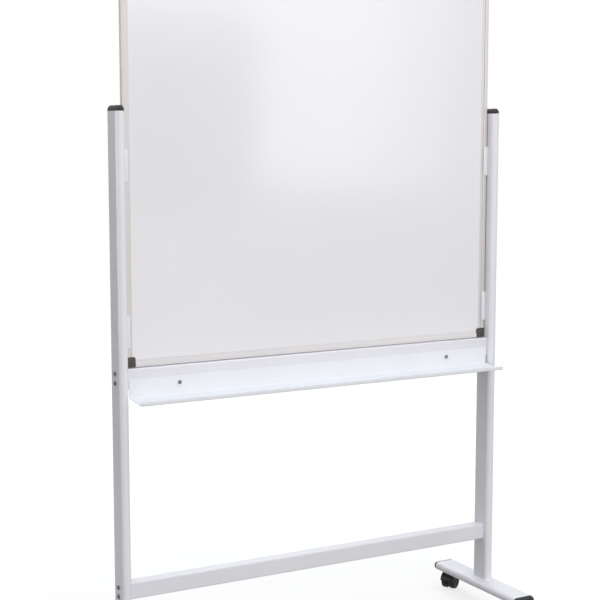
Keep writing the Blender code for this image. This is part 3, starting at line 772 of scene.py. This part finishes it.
def button_screw(head_radius, head_tall, shank_radius, shank_long):
    """Button-head screw on Z: the head stands on zero height and the shank hangs below it."""
    bm = bmesh.new()
    upright = Matrix.Translation((0, 0, head_tall / 2))
    bmesh.ops.create_cone(
        bm, cap_ends=True, segments=HEAD_SIDES, radius1=head_radius, radius2=head_radius, depth=head_tall,
        matrix=upright
    )
    underside = min(bm.faces, key=lambda face: face.calc_center_median().z)
    step = head_radius - shank_radius
    bmesh.ops.inset_region(bm, faces=[underside], thickness=step, use_even_offset=True)
    shank = bmesh.ops.extrude_discrete_faces(bm, faces=[underside])["faces"][0]
    bmesh.ops.translate(bm, verts=shank.verts, vec=(0, 0, -shank_long))
    round_off(bm, list(top_face(bm).edges), HEAD_ROUND * head_tall, segments=8)
    top = top_face(bm)
    round_edge = list(top.edges)
    bmesh.ops.delete(bm, geom=[top], context="FACES_ONLY")
    key = KEY_RADIUS * head_radius
    flat = Matrix.Translation((0, 0, head_tall))
    hexagon = bmesh.ops.create_circle(bm, cap_ends=False, segments=6, radius=key, matrix=flat)["verts"]
    hex_edges = list({edge for vert in hexagon for edge in vert.link_edges})
    bmesh.ops.bridge_loops(bm, edges=round_edge + hex_edges)
    sunk = bmesh.ops.extrude_edge_only(bm, edges=hex_edges)["geom"]
    floor_verts = [item for item in sunk if isinstance(item, bmesh.types.BMVert)]
    floor_edges = [item for item in sunk if isinstance(item, bmesh.types.BMEdge)]
    bmesh.ops.translate(bm, verts=floor_verts, vec=(0, 0, -KEY_DEPTH * head_tall))
    rim = [edge for edge in floor_edges if set(edge.verts) <= set(floor_verts)]
    bmesh.ops.contextual_create(bm, geom=rim)
    return bm


BOLT_HEAD = (0.0065, 0.0036)
BOLT_SHANK = 0.0037
for side_name, side in SIDES.items():
    for level in ("upper", "lower"):
        for height in ("high", "low"):
            node = f"{side_name}_{level}_bar_{height}_bolt"
            low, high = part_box(node)
            middle = (low + high) / 2
            outside = high.x if side > 0 else low.x
            bm = button_screw(*BOLT_HEAD, BOLT_SHANK, high.x - low.x - BOLT_HEAD[1] - HAIR)
            seat = Matrix.Translation((outside - side * BOLT_HEAD[1], middle.y, middle.z))
            move(bm, seat @ Matrix.Rotation(side * pi / 2, 4, "Y"))
            bolt = put(f"{node}_button", bm, bolt_zinc, replaces=[node])
print(bolt.name, "faces:", len(bolt.data.polygons))

TRAY_SCREW_HEAD = (0.0058, 0.003)
TRAY_SCREW_SHANK = 0.0023
for side_name in SIDES:
    node = f"{side_name}_tray_screw"
    low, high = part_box(node)
    middle = (low + high) / 2
    bm = button_screw(*TRAY_SCREW_HEAD, TRAY_SCREW_SHANK, high.y - low.y - TRAY_SCREW_HEAD[1] - HAIR)
    seat = Matrix.Translation((middle.x, low.y + TRAY_SCREW_HEAD[1], middle.z))
    move(bm, seat @ Matrix.Rotation(pi / 2, 4, "X"))
    screw = put(f"{node}_button", bm, screw_zinc, replaces=[node])
print(screw.name, "faces:", len(screw.data.polygons))

# %% [markdown]
# ## Pen tray
# The tray is one steel sheet, folded twice: a flange on the crossbar, a shelf that slopes gently
# forwards, and a lip that keeps the pens in. A thin surface could be thickened with a modifier, but a
# drawn section has exact corners inside and outside each fold. It has eight points and is pulled out to
# the tray's length. The folds are then rounded, and the sheet's cut edges broken.

# %% Pen tray
TRAY_SHEET = 0.0018
TRAY_SLOPE = radians(5.0)
TRAY_LIP = 0.0115
TRAY_FLANGE = 0.0513
FOLD_OUTSIDE = 0.0026
FOLD_INSIDE = 0.0009
SHEET_BREAK = 0.0004


def drawn_out(bm, points, way):
    """A face with these corners, pulled along a vector into a solid."""
    face = bm.faces.new([bm.verts.new(point) for point in points])
    pulled = bmesh.ops.extrude_face_region(bm, geom=[face])["geom"]
    moved = [item for item in pulled if isinstance(item, bmesh.types.BMVert)]
    bmesh.ops.translate(bm, verts=moved, vec=way)
    bmesh.ops.recalc_face_normals(bm, faces=bm.faces)


def tray_piece():
    """The folded sheet."""
    low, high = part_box("pen_tray")
    low.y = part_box("pen_tray_lip")[0].y
    deep = high.y - low.y
    low_back = high.z - TRAY_FLANGE
    low_front = low_back - deep * tan(TRAY_SLOPE)
    shelf, bend = TRAY_SHEET / cos(TRAY_SLOPE), TRAY_SHEET * tan(TRAY_SLOPE)
    outside = [(high.y, high.z), (high.y, low_back), (low.y, low_front), (low.y, low_front + TRAY_LIP)]
    inside = [
        (low.y + TRAY_SHEET, low_front + TRAY_LIP),
        (low.y + TRAY_SHEET, low_front + bend + shelf),
        (high.y - TRAY_SHEET, low_back - bend + shelf),
        (high.y - TRAY_SHEET, high.z),
    ]

    def fold_edges(places):
        return edges_where(
            bm, 0, lambda middle: any((middle.yz - Vector(place)).length < HAIR for place in places)
        )

    bm = bmesh.new()
    drawn_out(bm, [(low.x, depth, height) for depth, height in outside + inside], (high.x - low.x, 0, 0))
    round_off(bm, fold_edges(outside[1:3]), FOLD_OUTSIDE, segments=8)
    round_off(bm, fold_edges(inside[1:3]), FOLD_INSIDE, segments=5)
    round_off(bm, fold_edges([outside[0], outside[3], inside[0], inside[3]]), SHEET_BREAK, segments=3)
    return put("pen_tray_sheet", bm, tray_coat_painted_cool, replaces=["pen_tray", "pen_tray_lip"])


tray = tray_piece()
print(tray.name, "faces:", len(tray.data.polygons))

# %% [markdown]
# ## Frame rails
# Four aluminium channels grip the panel. A block could be cut to their shape, but a real rail is pressed
# through a die, and a drawn section that is pulled out copies that. Its sixteen points give a raised
# ridge along the board's edge, and beside it a lower lip that rests on the panel. The step between the
# two draws the fine line that runs round the whole frame. The outer edges are rounded as the die leaves
# them.

# %% Frame rails
RAIL_WALL = 0.0014
RAIL_RIDGE = 0.012
RAIL_STEP = 0.0022
LIP_EDGE = 0.0053
HOOK_FACE = 0.0048
RAIL_ROUND = 0.0011
RIDGE_ROUND = 0.0003


def rail_section(face, half):
    """The channel's corners: how far in from the board's edge, and depth."""
    lip_depth, inside = half - RAIL_STEP, half - RAIL_WALL
    ridge = [(0, -half), (RAIL_RIDGE, -half), (RAIL_RIDGE, -lip_depth)]
    lip = [(face, -LIP_EDGE), (face, -HOOK_FACE), (RAIL_RIDGE - RAIL_WALL, -HOOK_FACE)]
    channel = [(RAIL_RIDGE - RAIL_WALL, -inside), (RAIL_WALL, -inside)]
    front = ridge + lip + channel
    return front + [(inward, -depth) for inward, depth in reversed(front)]


def rail_piece(node, axis, material):
    """One rail along X (axis 0) or Z (axis 2)."""
    low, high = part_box(node)
    inward_axis = 2 - axis
    face, half = high[inward_axis] - low[inward_axis], high.y
    from_low = node in ("left_rail", "bottom_rail")
    points = []
    for inward, depth in rail_section(face, half):
        level = low[inward_axis] + inward if from_low else high[inward_axis] - inward
        point = Vector((level, depth, level))
        point[axis] = low[axis]
        points.append(point)
    way = Vector((0, 0, 0))
    way[axis] = high[axis] - low[axis]
    bm = bmesh.new()
    drawn_out(bm, points, way)
    edge, inward = (low, 1) if from_low else (high, -1)
    for reach, radius, segments in ((0, RAIL_ROUND, 5), (RAIL_RIDGE, RIDGE_ROUND, 3)):
        level = edge[inward_axis] + inward * reach
        corner = edges_where(
            bm, axis, lambda middle: abs(middle[inward_axis] - level) + abs(abs(middle.y) - half) < HAIR
        )
        round_off(bm, corner, radius, segments)
    return put(f"{node}_channel", bm, material, replaces=[node])


rail_piece("top_rail", 0, flat_aluminium)
rail_piece("bottom_rail", 0, flat_aluminium)
rail_piece("left_rail", 2, upright_aluminium)
rail = rail_piece("right_rail", 2, upright_aluminium)
print(rail.name, "faces:", len(rail.data.polygons))

# %% [markdown]
# ## Corner pieces
# A moulded corner joins two rails: a plate in front, a plate behind and a thin wall round the outside.
# Three blocks could be put together, but then seams would show. So it starts as one block, and a Boolean
# cuts out the pocket that takes the rails' ends and the panel's corner. Only the plates' rims are rounded
# enough to catch the light, and the corner that points into the board is cut round.

# %% Corner pieces
rail_low, rail_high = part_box("top_rail")
board_low = Vector((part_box("left_rail")[0].x, 0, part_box("bottom_rail")[0].z))
board_high = Vector((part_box("right_rail")[1].x, 0, rail_high.z))
SEAM = 0.0003
CORNER_SIZE = rail_low.x - board_low.x - SEAM
CORNER_ROUND = 0.006
TIP_ROUND = 0.0012
PLATE_ROUND = 0.0008


def corner_piece(level, side_name):
    """One corner, made with its tip at the origin and its arms along X and Z."""
    node = f"{level}_{side_name}_corner"
    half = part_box(node)[1].y
    bm, pocket = bmesh.new(), bmesh.new()
    block(bm, (0, -half, 0), (CORNER_SIZE, half, CORNER_SIZE))
    block(pocket, (RAIL_WALL, -HOOK_FACE, RAIL_WALL), (2 * CORNER_SIZE, HOOK_FACE, 2 * CORNER_SIZE))
    combine(bm, pocket, "DIFFERENCE")
    inner = edges_where(bm, 1, lambda middle: min(middle.x, middle.z) > CORNER_SIZE - HAIR)
    round_off(bm, inner, CORNER_ROUND, segments=12)
    tip = edges_where(bm, 1, lambda middle: max(middle.x, middle.z) < HAIR)
    round_off(bm, tip, TIP_ROUND, segments=6)
    rim = [edge for edge in bm.edges if abs(sum(vert.co.y for vert in edge.verts)) > 2 * half - HAIR]
    round_off(bm, rim, PLATE_ROUND, segments=4)
    corner_x = board_low.x if side_name == "left" else board_high.x
    corner_z = board_low.z if level == "bottom" else board_high.z
    arms = Matrix.Diagonal((-SIDES[side_name], 1, 1 if level == "bottom" else -1, 1))
    move(bm, Matrix.Translation((corner_x, 0, corner_z)) @ arms)
    return put(f"{node}_moulding", bm, corner_plastic, replaces=[node])


for level in ("top", "bottom"):
    for side_name in SIDES:
        corner = corner_piece(level, side_name)
print(corner.name, "faces:", len(corner.data.polygons))

# %% [markdown]
# ## Brackets
# Four steel clips bent into a U hold the board's sides, with their web welded to the post. Each is a
# drawn section that is pulled out, like the tray, because that keeps the sheet equally thick all round.
# The two flange corners are cut round and the bends have the radius of the press tool. Two small screws
# come in from behind, where the writing side doesn't show them.

# %% Brackets
BRACKET_SHEET = 0.0022
FLANGE_ROUND = 0.004
BEND_OUTSIDE = 0.0018
RIM_ANGLE = radians(30)
CLIP_SCREW_HEAD = (0.0038, 0.0019)
CLIP_SCREW_SHANK = 0.0016
CLIP_SCREW_LONG = 0.006
CLIP_SCREW_STEP = 0.026


def bracket_piece(level, side_name, side):
    """One U-shaped clip, drawn from its web towards the board."""
    node = f"{level}_{side_name}_bracket"
    low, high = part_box(node)
    wide, out, inside = high.x - low.x, high.y, high.y - BRACKET_SHEET
    web = high.x if side > 0 else low.x
    front = [(0, -out), (wide, -out), (wide, -inside), (BRACKET_SHEET, -inside)]
    outline = front + [(across, -depth) for across, depth in reversed(front)]
    bm = bmesh.new()
    section = [(web - side * across, depth, low.z) for across, depth in outline]
    drawn_out(bm, section, (0, 0, high.z - low.z))
    lip = web - side * wide
    round_off(bm, edges_where(bm, 1, lambda middle: abs(middle.x - lip) < HAIR), FLANGE_ROUND, segments=10)
    round_off(bm, edges_where(bm, 2, lambda middle: abs(middle.x - web) < HAIR), BEND_OUTSIDE, segments=6)
    rim = []
    for edge in bm.edges:
        on_face = all(abs(abs(vert.co.y) - out) < HAIR for vert in edge.verts)
        if on_face and edge.calc_face_angle(0) > RIM_ANGLE:
            rim.append(edge)
    round_off(bm, rim, SHEET_BREAK, segments=3)
    bmesh.ops.remove_doubles(bm, verts=bm.verts, dist=HAIR)
    put(f"{node}_clip", bm, white_coat, replaces=[node])
    return Vector((web - side * (wide + BRACKET_SHEET) / 2, out, (low.z + high.z) / 2))


for level in ("upper", "lower"):
    for side_name, side in SIDES.items():
        seat = bracket_piece(level, side_name, side)
        for number, shift in enumerate((-CLIP_SCREW_STEP, CLIP_SCREW_STEP)):
            bm = button_screw(*CLIP_SCREW_HEAD, CLIP_SCREW_SHANK, CLIP_SCREW_LONG)
            place = Matrix.Translation(seat + Vector((0, 0, shift)))
            move(bm, place @ Matrix.Rotation(-pi / 2, 4, "X"))
            put(f"{level}_{side_name}_clip_screw_{number}", bm, screw_zinc)
print("bracket screws seat at depth in mm:", round(1000 * seat.y, 1))

# %% [markdown]
# ## Caster hoods
# Each caster has a moulded hood: a fender that arches over both wheels, a rib between them and a neck
# that takes the stem. One outline can't give all of it, so the fender and the rib are flat sections spun
# about the axle, and the neck and the hub are spun about their own axes. The fender's rims are rounded so
# that they catch the light as moulded edges do. Booleans then join the four into one moulding. A Boolean
# is unsure where two faces lie in one plane, so the rib ends a little before the fender does, and the hub
# stands a hair proud of the rib.

# %% Caster hoods
WHEEL_GAP = 0.0006
RIB_THICK = 0.0084
WHEEL_WIDE = 0.018
FENDER_INSIDE = 0.0265
FENDER_OUTSIDE = 0.0287
FENDER_OVERHANG = 0.0007
FENDER_ROUND = 0.0012
FENDER_RIM_ANGLE = radians(60)
FENDER_START, FENDER_STOP = radians(12), radians(172)
RIB_SET_BACK = radians(2)
FENDER_STEPS = 48
NECK_RADIUS = 0.0095
NECK_SEAT = 0.0095
NECK_RIM = 0.0008
NECK_HIDDEN = 0.020
HUB_RADIUS = 0.008
HUB_PROUD = 0.0002
AXLE_HOLE = 0.0033
FENDER_HALF = RIB_THICK / 2 + WHEEL_GAP + WHEEL_WIDE + FENDER_OVERHANG
RIB_INSIDE = 0.8 * HUB_RADIUS
RIB_OUTSIDE = (FENDER_INSIDE + FENDER_OUTSIDE) / 2


def arch(inside, outside, half, set_back):
    """Rectangle of radius and width, spun over the wheels about the axle, which lies along Y here.

    Both ends stop short of the fender's own by an angle.
    """
    bm = bmesh.new()
    corners = [(outside, -half), (outside, half), (inside, half), (inside, -half)]
    start = Matrix.Rotation(-FENDER_START - set_back, 3, "Y")
    face = bm.faces.new([bm.verts.new(start @ Vector((radius, along, 0))) for radius, along in corners])
    bmesh.ops.spin(
        bm, geom=[face, *face.edges, *face.verts], cent=(0, 0, 0), axis=(0, -1, 0),
        angle=FENDER_STOP - FENDER_START - 2 * set_back, steps=FENDER_STEPS
    )
    bmesh.ops.remove_doubles(bm, verts=bm.verts, dist=HAIR)
    bmesh.ops.recalc_face_normals(bm, faces=bm.faces)
    return bm


def fender():
    """Arch over both wheels with rounded outer rims."""
    bm = arch(FENDER_INSIDE, FENDER_OUTSIDE, FENDER_HALF, set_back=0)
    rims = []
    for edge in bm.edges:
        far = all(abs(vert.co.xz.length - FENDER_OUTSIDE) < HAIR for vert in edge.verts)
        if far and edge.calc_face_angle(0) > FENDER_RIM_ANGLE:
            rims.append(edge)
    round_off(bm, rims, FENDER_ROUND, segments=5)
    return bm


def neck(top, height):
    """Upright neck with the stem's seat, and a rounded top rim."""
    bm = bmesh.new()
    low = top - height
    seat = top - NECK_SEAT
    outside = [(0, low), (NECK_RADIUS, low), (NECK_RADIUS, top)]
    spun(bm, outside + [(STEM_HOLE, top), (STEM_HOLE, seat), (0, seat)], ROUND_STEPS)
    round_off(bm, rings_at(bm, [(NECK_RADIUS, top)]), NECK_RIM, segments=4)
    return bm


def hub():
    """Ring round the axle, a hair thicker than the rib."""
    bm = bmesh.new()
    half = RIB_THICK / 2 + HUB_PROUD
    ring = [(AXLE_HOLE, -half), (HUB_RADIUS, -half), (HUB_RADIUS, half), (AXLE_HOLE, half)]
    spun(bm, ring, ROUND_STEPS, closed=True)
    return bm


def caster_places(end_name, side_name):
    """The caster's own frame in the world, with X along its trail, and its axle in that frame."""
    swivel = Vector(joints[f"{end_name}_{side_name}_swivel"]["pos_m"])
    axle = Vector(joints[f"{end_name}_{side_name}_left_wheel_spin"]["pos_m"])
    trail = (axle - swivel).to_2d()
    turn = Matrix.Rotation(-Vector((1, 0)).angle_signed(trail), 4, "Z")
    return Matrix.Translation((swivel.x, swivel.y, 0)) @ turn, Vector((trail.length, 0, axle.z))


def hood_piece(end_name, side_name):
    """One hood, joined from its four mouldings."""
    node = f"{end_name}_{side_name}_caster_hood"
    turned, axle = caster_places(end_name, side_name)
    at_axle = Matrix.Translation(axle)
    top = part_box(node)[1].z
    bm = fender()
    combine(bm, arch(RIB_INSIDE, RIB_OUTSIDE, RIB_THICK / 2, RIB_SET_BACK), "UNION")
    ring = hub()
    move(ring, Matrix.Rotation(pi / 2, 4, "X"))
    combine(bm, ring, "UNION")
    move(bm, at_axle)
    combine(bm, neck(top, NECK_HIDDEN), "UNION")
    move(bm, turned)
    body = f"{end_name}_{side_name}_fork"
    return put(f"{node}_moulding", bm, hood_plastic, body, [node])


for end_name in ENDS:
    for side_name in SIDES:
        hood = hood_piece(end_name, side_name)
print(hood.name, "faces:", len(hood.data.polygons))

# %% [markdown]
# ## Caster wheels
# A wheel is a turned shape. Cylinders could be stacked, but one outline spun about the axle has no joins:
# tread, raised rim, dished face with a ring groove, and a low boss in the middle. The tread's two corners
# are then rounded, the outer one more.

# %% Caster wheels
WHEEL_STEPS = 72
TREAD_ROUND = 0.0026
OUTER_ROUND = 0.0048
RIM_WIDE = 0.0045
DISH = 0.002
FACE_THICK = 0.003
BOSS_RADIUS = 0.0062
BOSS_TALL = 0.0011
BOSS_FLARE = BOSS_TALL / 3
GROOVE = (0.0118, 0.0130)
GROOVE_DEEP = 0.0006
RIM_BREAK = 0.0004


def wheel(radius):
    """Wheel on Z: its inner face looks down to the rib, its outer face up."""
    inside = RIB_THICK / 2 + WHEEL_GAP
    outside = inside + WHEEL_WIDE
    dish = outside - DISH
    rim = radius - OUTER_ROUND - RIM_WIDE
    profile = [
        (0, dish + BOSS_TALL),
        (BOSS_RADIUS, dish + BOSS_TALL),
        (BOSS_RADIUS + BOSS_FLARE, dish),
        (GROOVE[0], dish),
        (GROOVE[0], dish - GROOVE_DEEP),
        (GROOVE[1], dish - GROOVE_DEEP),
        (GROOVE[1], dish),
        (rim - DISH, dish),
        (rim, outside),
        (radius, outside),
        (radius, inside),
        (AXLE_HOLE, inside),
        (AXLE_HOLE, dish - FACE_THICK),
        (0, dish - FACE_THICK),
    ]
    bm = bmesh.new()
    spun(bm, profile, WHEEL_STEPS)
    round_off(bm, rings_at(bm, [(radius, outside)]), OUTER_ROUND, segments=8)
    round_off(bm, rings_at(bm, [(radius, inside)]), TREAD_ROUND, segments=6)
    round_off(bm, rings_at(bm, [(rim, outside), (BOSS_RADIUS, dish + BOSS_TALL)]), RIM_BREAK, segments=3)
    return bm


def wheel_piece(end_name, side_name, wheel_side):
    """One wheel on its own body."""
    node = f"{end_name}_{side_name}_caster_{wheel_side}_wheel"
    low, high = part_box(node)
    turned, axle = caster_places(end_name, side_name)
    out = turned.inverted() @ ((low + high) / 2)
    bm = wheel((high.z - low.z) / 2)
    turn = Matrix.Rotation(-pi / 2 if out.y > 0 else pi / 2, 4, "X")
    move(bm, turned @ Matrix.Translation(axle) @ turn)
    body = f"{end_name}_{side_name}_{wheel_side}_wheel"
    return put(f"{node}_tread", bm, wheel_plastic, body, [node])


for end_name in ENDS:
    for side_name in SIDES:
        for wheel_side in SIDES:
            tread = wheel_piece(end_name, side_name, wheel_side)
print(tread.name, "faces:", len(tread.data.polygons))

# %% [markdown]
# ## Pieces that keep their solids
# The writing sheet, the rear sheet, the core, the stems and the axles are plain shapes that the packed
# model already has right. Modelled again they would come out the same, so they only take the finish that
# the real piece has.

# %% Pieces that keep their solids


def dress(node, material):
    """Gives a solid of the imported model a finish."""
    mesh = frame["nodes"][node].data
    mesh.materials.clear()
    mesh.materials.append(material)


finishes = {"front_sheet": enamel, "rear_sheet": backing, "board_core": core}
for end_name in ENDS:
    for side_name in SIDES:
        finishes[f"{end_name}_{side_name}_caster_stem"] = screw_zinc
        finishes[f"{end_name}_{side_name}_caster_axle"] = screw_zinc
for node, material in finishes.items():
    dress(node, material)
print("solids that keep their shape:", len(finishes))

# %% [markdown]
# The dressed model has to fill the same box as the imported one. The dressed model's box is printed in
# millimetres.

low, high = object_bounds()
print("visual box in mm:", [round(1000 * side) for side in high - low])
